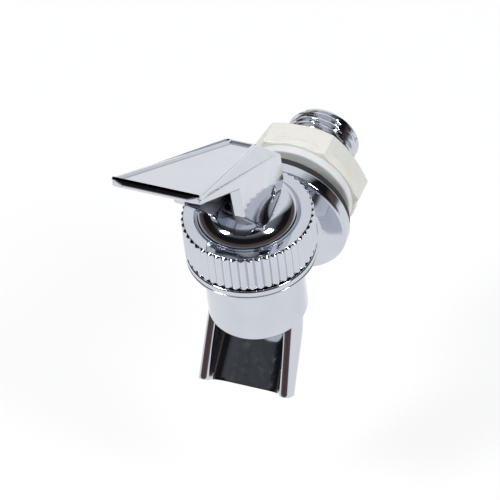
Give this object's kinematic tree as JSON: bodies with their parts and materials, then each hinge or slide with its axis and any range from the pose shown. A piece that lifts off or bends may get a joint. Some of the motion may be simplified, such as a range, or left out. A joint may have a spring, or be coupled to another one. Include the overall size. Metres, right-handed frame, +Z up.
{
  "type": "beverage dispenser spigot",
  "caption": "Chrome-plated dispenser spigot with a paddle lever, ribbed bonnet, open-front spout and a threaded tail with washers and a lock nut.",
  "frame": {"origin": "centre of the gasket face that seals on the outside of the jar's wall, on the axis of the threaded tail", "axes": "+Z up, +Y into the jar along the tail, the spout and lever face -Y"},
  "size_m": [0.029, 0.0845, 0.0926],
  "materials": {
    "chrome": "bright chrome plate on moulded ABS",
    "steel": "drawn stainless steel",
    "silicone": "milky silicone rubber",
    "rubber": "black moulded rubber",
    "acetal": "white acetal",
    "nylon": "natural white nylon"
  },
  "bodies": {
    "shell": {"body": "chrome", "bonnet": "chrome", "bonnet_seal": "silicone", "flange_gasket": "rubber", "inner_washer": "silicone", "lock_nut": "nylon"},
    "coil": {"return_spring": "steel"},
    "valve": {"stem": "acetal", "spring_washer": "steel", "valve_cup": "silicone"},
    "handle": {"lever": "chrome", "pivot_pin": "steel"}
  },
  "joints": [
    {"name": "handle_swivel", "type": "hinge", "parent": "shell", "child": "coil", "pos_m": [0, -0.021, 0], "axis": [0, 0, 1], "continuous": true},
    {"name": "stem_lift", "type": "slide", "parent": "coil", "child": "valve", "axis": [0, 0, 1], "range_m": [0, 0.003], "deforming": ["return_spring"]},
    {"name": "lever_press", "type": "hinge", "parent": "valve", "child": "handle", "pos_m": [0, -0.021, 0.0254], "axis": [1, 0, 0], "range_deg": [0, 45], "stiffness_Nm_per_rad": 0.03, "springref_deg": -74.48}
  ],
  "couplings": [
    {"joint": "lever_press", "follows": "stem_lift", "rad_per_m": 261.8}
  ]
}
